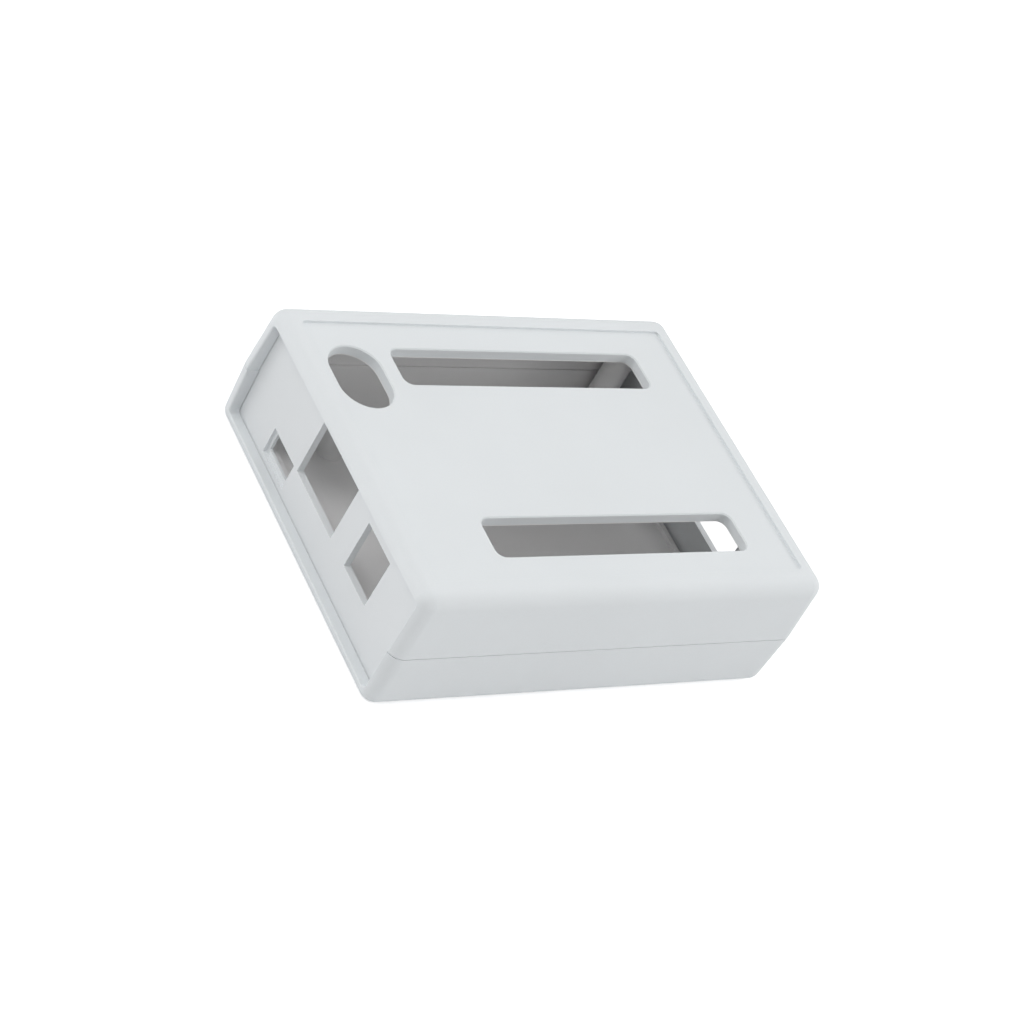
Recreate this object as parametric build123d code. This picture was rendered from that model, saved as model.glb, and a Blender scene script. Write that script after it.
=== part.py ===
from build123d import *
import math
import os

os.makedirs("parts", exist_ok=True)

# Outside of the closed box, in mm, widest at the joint plane between the shells
length = 98.5
width = 77.9
height = 30.0
joint_z = 14.3
end_draft_cover = 2.1
end_draft_base = 2.2
side_draft_cover = 1.9
side_draft_base = 1.2
corner_r = 3.2
top_edge_r = 3.1
bottom_edge_r = 2.8

# Walls of the two shells
cover_wall = 2.9
base_wall = 3.1
top_plate = 2.9
floor_t = 3.1
inner_edge_r = 1.0
lip_edge = 0.2

# Fine open line where the shells meet, half of it in each shell
joint_line_h = 0.09
joint_line_depth = 0.4

# End panels, each standing in a groove behind the mouth of the shells, which sits a little to the front
panel_recess = 2.9
panel_t = 1.5
lip_depth = 2.75
mouth_y = -0.7
groove_wall = 2.1
groove_bite = 0.8
groove_slack = 0.2
panel_fit = 0.15
guide_rib_t = 1.1
guide_rib_h = 1.0
guide_rib_gap = 0.8

# Tongue on the base and rebate in the cover, along the two long sides
tongue_inset = 6.0
tongue_t = 1.2
tongue_h = 1.3
tongue_fit = 0.15

# Label recess in the top
recess_margin_x = 4.8
recess_margin_y = 5.4
recess_depth = 0.5
recess_r = 0.8

# Two slots over the board's pin headers, and the oval hole, placed from the ends and the back
slot_near_inset = 22.1
slot_far_inset = 14.9
slot_width = 9.8
slot_r = 2.0
slot_spacing = 44.8
slot_mid_y = -0.4
oval_length = 16.7
oval_width = 11.9
oval_inset_x = 12.4
oval_inset_y = 19.95
hole_edge = 0.25

# Standoffs for the circuit board, whose holes are wider apart at the connector end
near_hole_inset = 19.15
near_hole_spacing = 48.2
far_hole_inset = 12.65
far_hole_spacing = 41.9
board_underside_z = 9.9
standoff_r = 3.0
standoff_bore_r = 1.1
standoff_bore_depth = 6.0

# Corner screws, from the underside up into the posts of the cover
screw_inset_x = 11.25
screw_inset_y = 6.95
post_r = 2.9
post_bore_r = 1.25
post_bore_depth = 10.0
boss_r = 4.2
clear_bore_r = 1.65
head_bore_r = 3.0
head_bore_depth = 7.0
boss_shoulder = 2.0
screw_head_r = 2.7
screw_head_h = 2.0
screw_head_edge = 0.4
screw_core_r = 1.2
screw_length = 16.0
screw_tip = 0.6
screw_tip_r = 0.8
cross_width = 0.9
cross_length = 3.2
cross_depth = 1.1

# Windows in the connector panel: the cable jack, the power jack and the small data socket
jack_y = 2.65
jack_width = 17.5
jack_bottom_z = 11.0
jack_top_gap = 1.5
power_y = -18.0
power_width = 10.2
power_bottom_z = 11.0
power_height = 12.0
data_y = 17.9
data_z = 7.6
data_width = 8.8
data_height = 4.3
pocket_width = 10.1
pocket_height = 6.5
pocket_depth = 0.85

# Window in the far panel
host_y = -9.4
host_width = 15.0
host_bottom_z = 11.1
host_height = 8.0


# Block that narrows away from the joint plane, up to or down to end_z
def drafted(half_x, half_y, draft_x, draft_y, end_z):
    rise = abs(end_z - joint_z)
    in_x = rise * math.tan(math.radians(draft_x))
    in_y = rise * math.tan(math.radians(draft_y))
    turn = 90 if end_z > joint_z else -90
    block = Wedge(
        2 * half_x, rise, 2 * half_y, in_x, in_y, 2 * half_x - in_x, 2 * half_y - in_y,
        align=(Align.CENTER, Align.MIN, Align.CENTER),
    )
    return Pos(0, 0, joint_z) * Rot(turn, 0, 0) * block


# Edges of a solid that lie in one level plane
def edges_at(solid, level):
    return [edge for edge in solid.edges() if all(abs(v.Z - level) < 0.001 for v in edge.vertices())]


# Outside of one shell, with its corners and far edges rounded
def shell_body(draft_x, draft_y, end_z, edge_r):
    block = drafted(length / 2, width / 2, draft_x, draft_y, end_z)
    block = fillet(block.edges().group_by(Axis.Z)[1], corner_r)
    return fillet(edges_at(block, end_z), edge_r)


# Room inside a shell, running out through both ends
def room(wall, draft_y, end_z, edge_r):
    block = drafted(length, width / 2 - wall, 0, draft_y, end_z)
    rims = [edge for edge in block.edges().filter_by(Axis.X) if abs(edge.center().Z - end_z) < 0.001]
    return fillet(rims, edge_r)


def cover_room():
    return room(cover_wall, side_draft_cover, height - top_plate, inner_edge_r)


def base_room(inset=0.0):
    return room(base_wall + inset, side_draft_base, floor_t + inset, inner_edge_r)


# Full height slice of the box between two stations along its length
def between(x0, x1):
    return Pos((x0 + x1) / 2, 0, height / 2) * Box(x1 - x0, 2 * width, 2 * height)


# Stations of the groove, measured from the middle of the box
groove_out = length / 2 - lip_depth
panel_face = length / 2 - panel_recess
groove_in = panel_face - panel_t - groove_slack
rib_out = groove_in - guide_rib_gap
rib_in = rib_out - guide_rib_t

# Length that the tongues run for
tongue_length = length - 2 * tongue_inset


# The two slices, one at each end, between two stations
def both_ends(inner, outer):
    return between(inner, outer) + between(-outer, -inner)


# Broken rim where the mouth of a shell comes out through its ends
def break_lips(shell, mouth):
    walls = [face for face in mouth.faces() if abs(face.center().X) < 1]
    lips = []
    for edge in shell.edges():
        points = [edge.position_at(t) for t in (0, 0.5, 1)]
        at_end = all(abs(p.X) > panel_face for p in points)
        if at_end and all(min(w.distance_to(Vertex(p.X, p.Y, p.Z)) for w in walls) < 0.0001 for p in points):
            lips.append(edge)
    return chamfer(lips, lip_edge)


# Ring that opens the fine line round the joint
def joint_ring():
    core = RectangleRounded(
        length - 2 * joint_line_depth, width - 2 * joint_line_depth, corner_r - joint_line_depth
    )
    keep = extrude(core, 2 * joint_line_h, both=True)
    return Pos(0, 0, joint_z) * (Box(2 * length, 2 * width, 2 * joint_line_h) - keep)


# Hollow one shell, open its mouths and cut the panel grooves
def hollowed(body, space, groove):
    mouth = Pos(0, mouth_y, 0) * space
    shell = break_lips(body - (mouth & both_ends(groove_in, length)), mouth)
    shell -= space & between(-groove_in, groove_in)
    slots = Pos(0, mouth_y, 0) * groove & both_ends(groove_in, groove_out)
    return shell - slots - joint_ring()


def corner_points():
    x = length / 2 - screw_inset_x
    y = width / 2 - screw_inset_y
    return [(sx * x, sy * y) for sx in (-1, 1) for sy in (-1, 1)]


def board_points():
    near_x = near_hole_inset - length / 2
    far_x = length / 2 - far_hole_inset
    near = [(near_x, sy * near_hole_spacing / 2) for sy in (-1, 1)]
    return near + [(far_x, sy * far_hole_spacing / 2) for sy in (-1, 1)]


# Upright cylinder between two levels
def rod(x, y, radius, z0, z1):
    return Pos(x, y, (z0 + z1) / 2) * Cylinder(radius, z1 - z0)


# Label recess, the two header slots and the oval hole, with their rims broken
def cut_top(cover):
    face_z = height - recess_depth
    recess_length = length - 2 * recess_margin_x
    recess_width = width - 2 * recess_margin_y
    cover -= Pos(0, 0, face_z) * extrude(RectangleRounded(recess_length, recess_width, recess_r), 2 * recess_depth)
    slot_length = length - slot_near_inset - slot_far_inset
    slot_x = (slot_near_inset - slot_far_inset) / 2
    slot = extrude(RectangleRounded(slot_length, slot_width, slot_r), top_plate, both=True)
    for side in (-1, 1):
        cover -= Pos(slot_x, slot_mid_y + side * slot_spacing / 2, face_z) * slot
    oval = extrude(SlotOverall(oval_length, oval_width, rotation=90), top_plate, both=True)
    cover -= Pos(oval_inset_x - length / 2, width / 2 - oval_inset_y, face_z) * oval
    inside_x = recess_length / 2 - recess_r
    inside_y = recess_width / 2 - recess_r
    rims = [
        edge for edge in edges_at(cover, face_z)
        if abs(edge.center().X) < inside_x and abs(edge.center().Y) < inside_y
        and edge.length < recess_width - 2 * recess_r
    ]
    return chamfer(rims, hole_edge)


# Screw posts that hang from the top plate
def add_posts(cover):
    for x, y in corner_points():
        cover += rod(x, y, post_r, joint_z, height - top_plate + recess_depth)
        cover -= rod(x, y, post_bore_r, joint_z, joint_z + post_bore_depth)
    return cover


def cut_rebate(cover):
    depth = tongue_h + tongue_fit
    reach = base_wall - tongue_t - tongue_fit
    for side in (-1, 1):
        inner = width / 2 - base_wall - tongue_t
        outer = width / 2 - reach
        place = Pos(0, side * (inner + outer) / 2, joint_z + depth / 2)
        cover -= place * Box(tongue_length + 2 * tongue_fit, outer - inner, depth)
    return cover


def top_cover():
    body = shell_body(end_draft_cover, side_draft_cover, height, top_edge_r)
    groove = room(groove_wall, side_draft_cover, height - top_plate + groove_bite, inner_edge_r)
    cover = hollowed(body, cover_room(), groove)
    cover = add_posts(cut_top(cover))
    return cut_rebate(cover)


def add_tongue(base):
    for side in (-1, 1):
        y = side * (width / 2 - base_wall + tongue_t / 2)
        base += Pos(0, y, joint_z + tongue_h / 2) * Box(tongue_length, tongue_t, tongue_h)
    return base


# Screw bosses, wide round the heads and as slim as the posts above them
def add_bosses(base):
    for x, y in corner_points():
        base += rod(x, y, boss_r, floor_t / 2, head_bore_depth + boss_shoulder)
        base += rod(x, y, post_r, floor_t / 2, joint_z)
    for x, y in corner_points():
        base -= rod(x, y, clear_bore_r, 0, joint_z)
        base -= rod(x, y, head_bore_r, 0, head_bore_depth)
    return base


def add_standoffs(base):
    for x, y in board_points():
        base += rod(x, y, standoff_r, floor_t / 2, board_underside_z)
    for x, y in board_points():
        base -= rod(x, y, standoff_bore_r, board_underside_z - standoff_bore_depth, board_underside_z)
    return base


def base_shell():
    body = shell_body(end_draft_base, side_draft_base, 0, bottom_edge_r)
    groove = room(groove_wall, side_draft_base, floor_t - groove_bite, inner_edge_r)
    base = hollowed(body, base_room(), groove)
    base += (base_room() - base_room(guide_rib_h)) & both_ends(rib_in, rib_out)
    return add_tongue(add_bosses(add_standoffs(base)))


# Blank of an end panel, standing on the floor of the base's groove
def panel_blank(side):
    wall = groove_wall + panel_fit
    upper = room(wall, side_draft_cover, height - top_plate + groove_bite - panel_fit, inner_edge_r)
    lower = room(wall, side_draft_base, floor_t - groove_bite, inner_edge_r)
    ends = sorted((side * panel_face, side * (panel_face - panel_t)))
    return Pos(0, mouth_y, 0) * (upper + lower) & between(*ends)


# Cutter for a window that runs through an end panel
def window(side, y, z, wide, high):
    return Pos(side * panel_face, y, z) * Box(4 * panel_t, wide, high)


def connector_panel():
    panel = panel_blank(-1)
    jack_height = height - top_plate - jack_top_gap - jack_bottom_z
    panel -= window(-1, jack_y, jack_bottom_z + jack_height / 2, jack_width, jack_height)
    panel -= window(-1, power_y, power_bottom_z + power_height / 2, power_width, power_height)
    panel -= window(-1, data_y, data_z, data_width, data_height)
    pocket = Box(2 * pocket_depth, pocket_width, pocket_height)
    return panel - Pos(-panel_face, data_y, data_z) * pocket


def far_panel():
    panel = panel_blank(1)
    return panel - window(1, host_y, host_bottom_z + host_height / 2, host_width, host_height)


# Pan head screw, head down, with its bearing face at the level of the seat
def case_screw():
    seat = head_bore_depth
    head = rod(0, 0, screw_head_r, seat - screw_head_h, seat)
    head = chamfer(edges_at(head, seat - screw_head_h), screw_head_edge)
    shank = rod(0, 0, screw_core_r, seat, seat + screw_length - screw_tip)
    tip_z = seat + screw_length - screw_tip / 2
    tip = Pos(0, 0, tip_z) * Cone(screw_core_r, screw_tip_r, screw_tip)
    arm = Box(cross_length, cross_width, 2 * cross_depth)
    cross = arm + Rot(0, 0, 90) * arm
    return head + shank + tip - Pos(0, 0, seat - screw_head_h) * cross


def case_screws():
    return Compound(children=[Pos(x, y, 0) * case_screw() for x, y in corner_points()])


export_step(top_cover(), "parts/top_cover.step")
export_step(base_shell(), "parts/base.step")
export_step(connector_panel(), "parts/connector_panel.step")
export_step(far_panel(), "parts/far_panel.step")
export_step(case_screws(), "parts/case_screws.step")
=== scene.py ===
import math

import bpy
from mathutils import Matrix, Vector


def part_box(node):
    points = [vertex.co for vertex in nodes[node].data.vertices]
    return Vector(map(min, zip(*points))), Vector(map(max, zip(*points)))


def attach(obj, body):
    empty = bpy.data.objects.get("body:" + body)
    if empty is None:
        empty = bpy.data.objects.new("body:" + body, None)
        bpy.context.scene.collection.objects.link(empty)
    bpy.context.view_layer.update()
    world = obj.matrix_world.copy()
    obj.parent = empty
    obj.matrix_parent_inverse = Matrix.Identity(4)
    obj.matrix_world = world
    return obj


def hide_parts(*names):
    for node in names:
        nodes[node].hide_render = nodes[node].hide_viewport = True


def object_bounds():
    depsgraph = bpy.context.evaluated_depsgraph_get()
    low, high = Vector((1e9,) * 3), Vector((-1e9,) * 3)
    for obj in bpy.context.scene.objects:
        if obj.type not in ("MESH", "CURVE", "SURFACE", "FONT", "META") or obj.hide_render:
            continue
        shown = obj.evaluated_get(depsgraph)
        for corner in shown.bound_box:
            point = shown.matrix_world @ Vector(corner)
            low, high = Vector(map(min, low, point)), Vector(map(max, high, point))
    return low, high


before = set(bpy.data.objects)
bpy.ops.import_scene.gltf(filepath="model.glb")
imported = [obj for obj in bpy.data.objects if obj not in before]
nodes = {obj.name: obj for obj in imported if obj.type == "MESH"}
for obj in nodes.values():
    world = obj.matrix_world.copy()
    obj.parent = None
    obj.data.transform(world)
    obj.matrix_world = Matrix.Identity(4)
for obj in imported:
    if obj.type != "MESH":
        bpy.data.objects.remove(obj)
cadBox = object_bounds()
print("frame loaded:", ", ".join(sorted(nodes)))


def clearSelection():
    if bpy.context.object and bpy.context.object.mode != "OBJECT":
        bpy.ops.object.mode_set(mode="OBJECT")
    bpy.ops.object.select_all(action="DESELECT")


def selectOnly(piece):
    clearSelection()
    bpy.context.view_layer.objects.active = piece
    piece.select_set(True)


# camera, where the photo was taken from
photoCamera = {
    "azimuth": -47.787,  # degrees, from straight on to the front side
    "elevation": 37.147,
    "roll": 32.683,
    "distance": 0.55388,  # metres from the point looked at
    "target": (-0.001966, -0.001367, 0.012315),
    "lens": 97.36,  # mm
    "sensor": 36.0,
    "clip": (0.01, 20.0),  # metres, nearest and farthest that is seen
}


def setCamera(view):
    azimuth, elevation, roll = (math.radians(view[turn]) for turn in ("azimuth", "elevation", "roll"))
    back = Vector((
        math.sin(azimuth) * math.cos(elevation),
        -math.cos(azimuth) * math.cos(elevation),
        math.sin(elevation),
    ))
    right = Vector((math.cos(azimuth), math.sin(azimuth), 0))
    up = back.cross(right)
    rolledRight = math.cos(roll) * right + math.sin(roll) * up
    rolledUp = math.cos(roll) * up - math.sin(roll) * right
    clearSelection()
    bpy.ops.object.camera_add()
    camera = bpy.context.object
    camera.name = "photoCamera"
    camera.data.lens = view["lens"]
    camera.data.sensor_width = view["sensor"]
    camera.data.clip_start, camera.data.clip_end = view["clip"]
    turned = Matrix((rolledRight, rolledUp, back)).transposed().to_4x4()
    camera.matrix_world = Matrix.Translation(Vector(view["target"]) + back * view["distance"]) @ turned
    bpy.context.scene.camera = camera


setCamera(photoCamera)
print("camera set")


# helpers that build materials: an input is given a number, a colour, or the output that feeds it
nodeSpacing = 200  # between neighbours in the node editor


def addNode(tree, kind, inputs=None, **settings):
    node = tree.nodes.new(kind)
    node.location.x = nodeSpacing * len(tree.nodes)
    for key, value in settings.items():
        setattr(node, key, value)
    for key, value in (inputs or {}).items():
        if isinstance(value, bpy.types.NodeSocket):
            tree.links.new(value, node.inputs[key])
        else:
            node.inputs[key].default_value = value
    return node


def newMaterial(name):
    material = bpy.data.materials.new(name)
    material.use_nodes = True
    tree = material.node_tree
    tree.nodes.clear()
    return material, tree, addNode(tree, "ShaderNodeTexCoord").outputs


def noise(tree, place, size, detail, roughness=0.5):
    inputs = {"Vector": place["Object"], "Scale": 1 / size, "Detail": detail, "Roughness": roughness}
    return addNode(tree, "ShaderNodeTexNoise", inputs).outputs["Fac"]


def remap(tree, value, source=(0.0, 1.0), target=(0.0, 1.0)):
    limits = dict(zip(("From Min", "From Max", "To Min", "To Max"), (*source, *target)))
    return addNode(tree, "ShaderNodeMapRange", {"Value": value, **limits}).outputs["Result"]


def calculate(tree, operation, *terms):
    return addNode(tree, "ShaderNodeMath", dict(enumerate(terms)), operation=operation).outputs["Value"]


def shaded(tree, colour, lightness):
    inputs = {0: colour, "Scale": lightness}
    return addNode(tree, "ShaderNodeVectorMath", inputs, operation="SCALE").outputs["Vector"]


# plastic of the two shells and the end panels
mouldFinish = {
    "cloud": (3.0, 0.55),  # detail and roughness of each pattern
    "grain": (2.0, 0.6),
    "fine": (1.0, 0.5),
    "contrast": (0.3, 0.7),  # stretch of each pattern that is used
    "grainInTint": 0.7,  # tint of the grain against that of the clouds
    "fineInHeight": 0.35,  # height of the fine pits against that of the grain
    "roughnessSpread": 0.05,
    "ior": 1.53,
    "sheen": 0.15,  # low, because light is lost between the pits
    "edgePolish": 0.10,  # how much smoother handling has rubbed the edges
    "edgeTurn": (0.995, 0.85),  # cosines of the turn at which rubbing starts and is full
    "edgePatches": (0.35, 0.6),  # stretch of the clouds from the least to the most rubbed and highlit edge
    "edgeLeast": 0.4,  # share of the rubbing and painted highlight that the least rubbed edge has
    "edgeRays": 4,
}
shellPlastic = {
    "colour": (0.735, 0.762, 0.776),
    # painted light: the lighter colour given to the faces inside the room
    "roomPaintedLight": (0.844, 0.839, 0.839),
    "roomInset": (0.00285, 0.00165),  # metres, from the ends and sides of the box into its walls
    "roomLevels": (0.0029, 0.0273),  # just under the floor and just over the ceiling of the room
    "roughness": 0.62,
    "cloudSize": 0.030,  # metres across a patch of slightly different tint
    "cloudDepth": 0.012,
    "grainSize": 0.00032,  # metres across one pit of the eroded mould finish
    "grainHeight": 0.000010,
    "fineSize": 0.00011,
    "edgeWidth": 0.00025,
    "edgePaintedHighlight": 0.035,  # painted highlight: how much lighter the edges are made
}
panelPlastic = {
    "colour": (0.718, 0.739, 0.752),
    "sillNormal": 0.5,  # most that a sill may face along the box
    "sillPaintedLight": 0.10,  # painted light: how much lighter the plain faces through the windows are made
    "roughness": 0.58,
    "cloudSize": 0.022,
    "cloudDepth": 0.010,
    "grainSize": 0.00026,
    "grainHeight": 0.000006,
    "fineSize": 0.00009,
    "edgeWidth": 0.00020,
    # painted highlight: how much lighter the panel's edges are made
    "edgePaintedHighlight": 0.045,
}


def shellColourAndRoomLight(tree, place, look, lightness):
    # painted light: the faces of the room inside are given a lighter colour than the outside, standing in for
    # light that reaches inside the box
    limits = [(low + inset, high - inset) for low, high, inset in zip(*cadBox, look["roomInset"])]
    limits.append(look["roomLevels"])
    split = addNode(tree, "ShaderNodeSeparateXYZ", {"Vector": place["Object"]})
    inside = 1.0
    for axis, (low, high) in zip("XYZ", limits):
        between = calculate(tree, "COMPARE", split.outputs[axis], (low + high) / 2, (high - low) / 2)
        inside = calculate(tree, "MULTIPLY", between, inside)
    # a mix of colours has its factor at 0, its two colours at 6 and 7, and its result at 2
    colours = {0: inside, 6: (*look["colour"], 1), 7: (*look["roomPaintedLight"], 1)}
    return shaded(tree, addNode(tree, "ShaderNodeMix", colours, data_type="RGBA").outputs[2], lightness)


def panelColourAndSillLight(tree, place, look, lightness):
    # painted light: faces that run through a panel, the sills and sides of its windows, are made lighter than
    # its flat sides
    split = addNode(tree, "ShaderNodeSeparateXYZ", {"Vector": place["Normal"]})
    sill = calculate(tree, "COMPARE", split.outputs["X"], 0.0, look["sillNormal"])
    return shaded(tree, look["colour"], calculate(tree, "MULTIPLY_ADD", sill, look["sillPaintedLight"], lightness))


def edgeWearAndHighlightMask(tree, cloud, width):
    # 1 along the edges and 0 on the faces, a little uneven; it makes the edges smoother, as rubbed, and
    # lighter, as a painted highlight
    finish = mouldFinish
    rounded = addNode(tree, "ShaderNodeBevel", {"Radius": width}, samples=finish["edgeRays"])
    face = addNode(tree, "ShaderNodeNewGeometry")
    normals = {0: rounded.outputs["Normal"], 1: face.outputs["Normal"]}
    turned = addNode(tree, "ShaderNodeVectorMath", normals, operation="DOT_PRODUCT").outputs["Value"]
    edge = remap(tree, turned, finish["edgeTurn"])
    uneven = remap(tree, cloud, finish["edgePatches"], (finish["edgeLeast"], 1.0))
    return calculate(tree, "MULTIPLY", edge, uneven)


# the colour passed in carries painted light as well as the plastic's own colour
def mouldedPlastic(name, look, colourAndPaintedLight):
    finish = mouldFinish
    material, tree, place = newMaterial(name)
    cloud = noise(tree, place, look["cloudSize"], *finish["cloud"])
    grain = noise(tree, place, look["grainSize"], *finish["grain"])
    fine = noise(tree, place, look["fineSize"], *finish["fine"])
    edgeWearAndHighlight = edgeWearAndHighlightMask(tree, cloud, look["edgeWidth"])

    # slow drift of the tint, a little of the grain in it, and a painted highlight along the edges
    cloudDepth = look["cloudDepth"]
    grainDepth = cloudDepth * finish["grainInTint"]
    drift = remap(tree, cloud, finish["contrast"], (1 - cloudDepth, 1 + cloudDepth))
    speck = remap(tree, grain, finish["contrast"], (1 - grainDepth, 1 + grainDepth))
    tint = calculate(tree, "MULTIPLY", drift, speck)
    lightness = calculate(tree, "MULTIPLY_ADD", edgeWearAndHighlight, look["edgePaintedHighlight"], tint)

    # roughness follows the pits of the mould finish, and rubbed edges are smoother
    spread = finish["roughnessSpread"]
    pitted = remap(tree, fine, finish["contrast"], (look["roughness"] - spread, look["roughness"] + spread))
    rough = calculate(tree, "MULTIPLY_ADD", edgeWearAndHighlight, -finish["edgePolish"], pitted)

    height = calculate(tree, "MULTIPLY_ADD", fine, finish["fineInHeight"], grain)
    pits = {"Strength": 1.0, "Distance": look["grainHeight"], "Height": height}
    surface = addNode(tree, "ShaderNodeBsdfPrincipled", {
        "Base Color": colourAndPaintedLight(tree, place, look, lightness),
        "Roughness": rough,
        "Normal": addNode(tree, "ShaderNodeBump", pits).outputs["Normal"],
        "IOR": finish["ior"],
        "Specular IOR Level": finish["sheen"],
    })
    addNode(tree, "ShaderNodeOutputMaterial", {"Surface": surface.outputs["BSDF"]})
    return material


def dress(node, material):
    for place in nodes[node].material_slots:
        place.material = material


shellGrey = mouldedPlastic("shellGreyPlastic", shellPlastic, shellColourAndRoomLight)
panelGrey = mouldedPlastic("panelGreyPlastic", panelPlastic, panelColourAndSillLight)
dress("top_cover", shellGrey)
dress("base", shellGrey)
dress("connector_panel", panelGrey)
dress("far_panel", panelGrey)
print("plastic on the shells and panels")


# screws that hold the shells together, driven up from the underside
screwSteel = {
    "colour": (0.56, 0.57, 0.58),
    "tarnishSize": 1 / 900,  # metres across a patch
    "tarnishDetail": 3.0,
    "tarnish": (0.86, 1.10),  # darkest and lightest patch against the colour
    "brushLength": 0.0012,
    "brushDetail": 4.0,
    "roughness": (0.22, 0.42),
    "scratchHeight": 0.000004,
    "scratchStrength": 0.6,
}
caseScrew = {
    "headR": 0.0027,
    "headH": 0.0020,
    "headRound": 0.0011,  # radius of the pan head's outer edge
    "headSides": 64,
    "headRoundSteps": 7,
    "recessLength": 0.0032,  # tip to tip of the cross
    "recessWidth": 0.00060,
    "recessDepth": 0.0013,
    "recessTaper": 0.35,  # length of the cross at its bottom against its mouth
    "rootDepth": 0.0005,  # of the shank in the head
    "coreR": 0.00092,
    "coreSides": 32,
    "crestR": 0.00120,
    "threadR": 0.00021,  # of the three-sided section of the thread
    "threadSteps": 28,  # to one turn
    "pitch": 0.0010,
    "plainNeck": 0.0010,
    "tipLength": 0.0012,
    "tipShare": 0.45,  # radius of the tip's end against the core's
    "smoothAngle": 35,  # degrees, past which an edge stays sharp
}
straightUp = 0.9  # least upward part of the normal of a face that looks straight up


def platedSteel(name, look):
    material, tree, place = newMaterial(name)
    tarnish = noise(tree, place, look["tarnishSize"], look["tarnishDetail"])
    brushed = noise(tree, place, look["brushLength"], look["brushDetail"])
    scratches = {"Strength": look["scratchStrength"], "Distance": look["scratchHeight"], "Height": brushed}
    surface = addNode(tree, "ShaderNodeBsdfPrincipled", {
        "Base Color": shaded(tree, look["colour"], remap(tree, tarnish, target=look["tarnish"])),
        "Roughness": remap(tree, brushed, target=look["roughness"]),
        "Normal": addNode(tree, "ShaderNodeBump", scratches).outputs["Normal"],
        "Metallic": 1.0,
    })
    addNode(tree, "ShaderNodeOutputMaterial", {"Surface": surface.outputs["BSDF"]})
    return material


def startPiece(name):
    piece = bpy.context.object
    piece.name = name
    bpy.ops.object.transform_apply(location=True, rotation=True, scale=True)
    bpy.ops.object.mode_set(mode="EDIT")
    bpy.ops.mesh.select_all(action="DESELECT")
    bpy.ops.object.mode_set(mode="OBJECT")
    return piece


def pickEnd(piece, direction):
    # in edit mode, the faces that look straight up, or straight down where direction is -1
    bpy.ops.object.mode_set(mode="OBJECT")
    for face in piece.data.polygons:
        face.select = face.normal.z * direction > straightUp
    bpy.ops.object.mode_set(mode="EDIT")
    bpy.ops.mesh.select_mode(type="FACE")


def applyBoolean(piece, tool, operation):
    selectOnly(piece)
    bpy.ops.object.modifier_add(type="BOOLEAN")
    cut = piece.modifiers[-1]
    cut.operation = operation
    cut.solver = "EXACT"
    cut.object = tool
    bpy.ops.object.modifier_apply(modifier=cut.name)
    selectOnly(tool)
    bpy.ops.object.delete()


def panHead(look, crown):
    clearSelection()
    bpy.ops.mesh.primitive_cylinder_add(
        vertices=look["headSides"], radius=look["headR"], depth=look["headH"],
        location=(0, 0, crown + look["headH"] / 2),
    )
    head = startPiece("screwHead")
    pickEnd(head, -1)
    bpy.ops.mesh.region_to_loop()
    bpy.ops.mesh.bevel(offset=look["headRound"], segments=look["headRoundSteps"], profile=0.5)
    bpy.ops.object.mode_set(mode="OBJECT")
    for turn in (0, math.pi / 2):  # one wing of the cross at a time
        clearSelection()
        bpy.ops.mesh.primitive_cube_add(
            size=1, location=(0, 0, crown), rotation=(0, 0, turn),
            scale=(look["recessLength"], look["recessWidth"], 2 * look["recessDepth"]),
        )
        wing = startPiece("recessWing")
        pickEnd(wing, 1)
        taper = look["recessTaper"]
        bpy.ops.transform.resize(value=(taper, taper, 1), center_override=(0, 0, crown))
        bpy.ops.object.mode_set(mode="OBJECT")
        applyBoolean(head, wing, "DIFFERENCE")
    return head


def plainShank(look, start, end):
    clearSelection()
    bpy.ops.mesh.primitive_cylinder_add(
        vertices=look["coreSides"], radius=look["coreR"], depth=end - start,
        location=(0, 0, (start + end) / 2),
    )
    shank = startPiece("screwShank")
    bpy.ops.object.mode_set(mode="EDIT")
    bpy.ops.mesh.select_all(action="SELECT")
    bpy.ops.mesh.bisect(plane_co=(0, 0, end - look["tipLength"]), plane_no=(0, 0, 1))
    pickEnd(shank, 1)
    share = look["tipShare"]
    bpy.ops.transform.resize(value=(share, share, 1), center_override=(0, 0, end))
    bpy.ops.object.mode_set(mode="OBJECT")
    return shank


def woundThread(look, bottom, top):
    # a three-sided section, point outwards, swept up round the shank and closed at both ends
    clearSelection()
    bpy.ops.mesh.primitive_circle_add(
        vertices=3, radius=look["threadR"], rotation=(math.pi / 2, math.pi / 2, 0),
        location=(look["crestR"] - look["threadR"], 0, bottom),
    )
    thread = startPiece("screwThread")
    bpy.ops.object.modifier_add(type="SCREW")
    sweep = thread.modifiers[-1]
    sweep.screw_offset = look["pitch"]
    sweep.iterations = int((top - bottom) / look["pitch"])
    sweep.steps = look["threadSteps"]
    sweep.render_steps = look["threadSteps"]
    bpy.ops.object.modifier_apply(modifier=sweep.name)
    bpy.ops.object.mode_set(mode="EDIT")
    bpy.ops.mesh.select_all(action="SELECT")
    bpy.ops.mesh.fill_holes(sides=3)
    bpy.ops.mesh.normals_make_consistent(inside=False)
    bpy.ops.object.mode_set(mode="OBJECT")
    return thread


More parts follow.
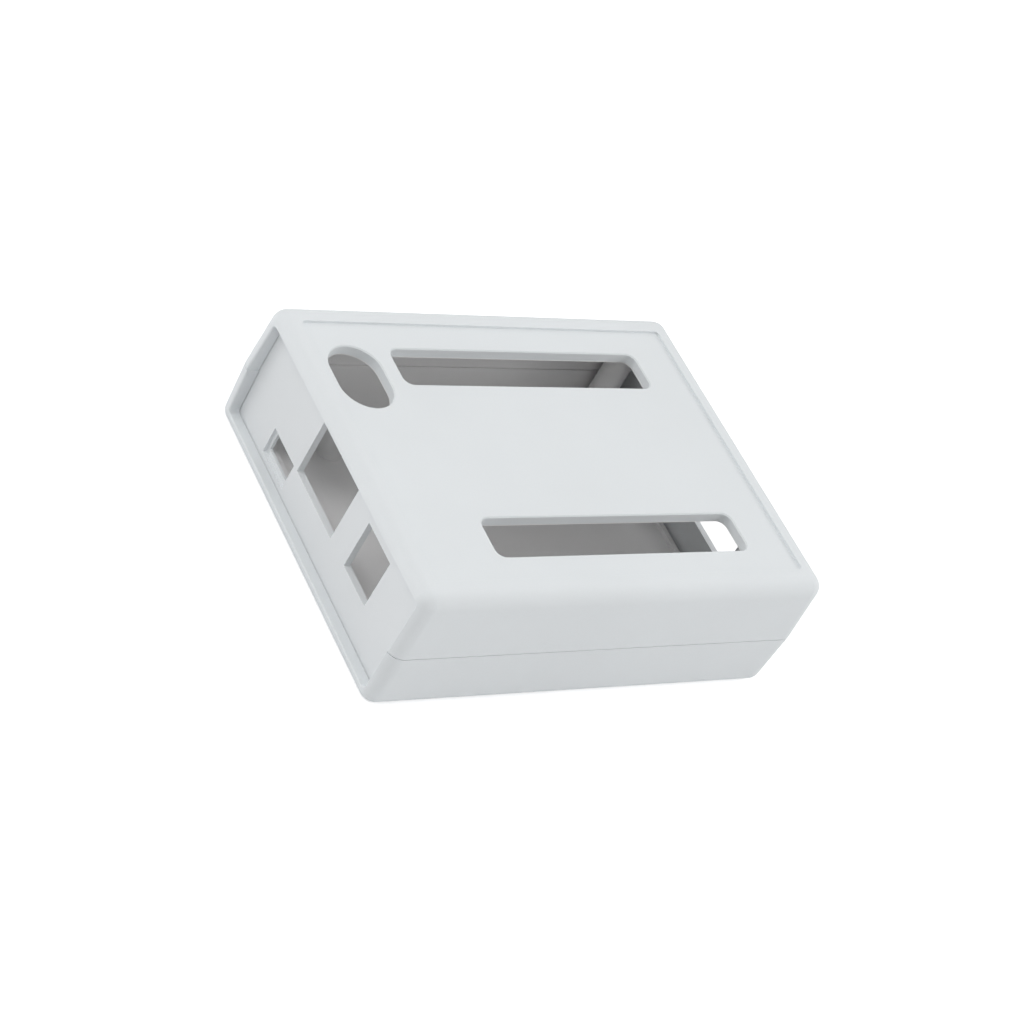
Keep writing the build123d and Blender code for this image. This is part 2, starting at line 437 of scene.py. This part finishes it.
def caseScrews(look, material):
    low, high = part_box("case_screws")
    seat = low[2] + look["headH"]
    shank = plainShank(look, seat - look["rootDepth"], high[2])
    thread = woundThread(look, seat + look["plainNeck"], high[2] - look["tipLength"])
    applyBoolean(shank, thread, "UNION")
    first = panHead(look, low[2])
    applyBoolean(first, shank, "UNION")
    first.data.materials.clear()
    first.data.materials.append(material)
    selectOnly(first)
    bpy.ops.object.shade_smooth_by_angle(angle=math.radians(look["smoothAngle"]))

    radius = look["headR"]
    spots = [(x, y) for x in (low[0] + radius, high[0] - radius) for y in (low[1] + radius, high[1] - radius)]
    for number, (x, y) in enumerate(spots, 1):
        selectOnly(first)
        bpy.ops.object.duplicate()
        screw = bpy.context.object
        screw.name = f"caseScrew{number}"
        screw.location = (x, y, 0)
        bpy.ops.object.transform_apply(location=True, rotation=True, scale=True)
        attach(screw, "root")
        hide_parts("case_screws")
    selectOnly(first)
    bpy.ops.object.delete()


caseScrews(caseScrew, platedSteel("screwPlatedSteel", screwSteel))
print("screws made")


# floor, backdrop and light
studio = {
    "floorSize": 6.0,
    "floorColour": (0.88, 0.88, 0.885),
    "mottleSize": 0.025,  # metres across a patch of the floor
    "mottleDetail": 2.0,
    "mottle": (0.99, 1.01),  # darkest and lightest patch
    "seenLift": 0.45,  # what the camera sees on top of the lit floor, so that it is white
    "worldStrength": 0.20,
    "worldColour": (1.0, 1.0, 1.0),
    "lampsAimAt": (0.0, 0.0, 0.01),
}
studioLamps = [  # name, place in metres, size in metres, watts
    ("besideCamera", (-0.75, -0.70, 0.75), 0.9, 1.2),
    ("leftBehind", (-0.90, 0.90, 0.60), 0.8, 4.8),
    ("leftHigh", (-0.90, 0.00, 0.90), 0.9, 5.1),
    ("rightFront", (0.90, -0.90, 0.60), 0.8, 5.0),
    ("rightFrontHigh", (0.60, -0.60, 1.00), 0.9, 3.65),
    ("rightSide", (1.20, 0.00, 0.50), 0.8, 3.5),
    ("backHigh", (0.00, 0.80, 1.00), 0.9, 3.2),
]


def seenStraight(tree):
    # 1 for rays from the camera, mirror-like reflections and clear things, 0 for the light on the object
    path = addNode(tree, "ShaderNodeLightPath").outputs
    mirrored = calculate(tree, "MAXIMUM", path["Is Camera Ray"], path["Is Glossy Ray"])
    return calculate(tree, "MAXIMUM", mirrored, path["Is Transmission Ray"])


def whiteToCamera(name, look):
    material, tree, place = newMaterial(name)
    mottle = noise(tree, place, look["mottleSize"], look["mottleDetail"])
    colour = shaded(tree, look["floorColour"], remap(tree, mottle, target=look["mottle"]))
    lit = addNode(tree, "ShaderNodeBsdfDiffuse", {"Color": colour})
    lift = calculate(tree, "MULTIPLY", seenStraight(tree), look["seenLift"])
    glow = addNode(tree, "ShaderNodeEmission", {"Strength": lift})
    joined = addNode(tree, "ShaderNodeAddShader", {0: lit.outputs["BSDF"], 1: glow.outputs["Emission"]})
    addNode(tree, "ShaderNodeOutputMaterial", {"Surface": joined.outputs["Shader"]})
    return material


def paleWorld(look):
    world = bpy.data.worlds.new("studioWorld")
    bpy.context.scene.world = world
    world.use_nodes = True
    tree = world.node_tree
    backdrop = tree.nodes["Background"]
    backdrop.inputs["Color"].default_value = (*look["worldColour"], 1)
    level = remap(tree, seenStraight(tree), target=(look["worldStrength"], 1.0))
    tree.links.new(level, backdrop.inputs["Strength"])


def hangLamp(name, place, size, watts, aim):
    clearSelection()
    bpy.ops.object.light_add(type="AREA", location=place)
    lamp = bpy.context.object
    lamp.name = name
    lamp.data.shape = "DISK"
    lamp.data.size = size
    lamp.data.energy = watts
    lamp.rotation_euler = (Vector(aim) - Vector(place)).to_track_quat("-Z", "Y").to_euler()


clearSelection()
bpy.ops.mesh.primitive_plane_add(size=studio["floorSize"], location=(0, 0, 0))
floor = bpy.context.object
floor.name = "studioFloor"
floor.data.materials.append(whiteToCamera("paleFloor", studio))

paleWorld(studio)
for lamp in studioLamps:
    hangLamp(*lamp, studio["lampsAimAt"])

bpy.context.scene.view_settings.view_transform = "Standard"
print("floor and lamps set")
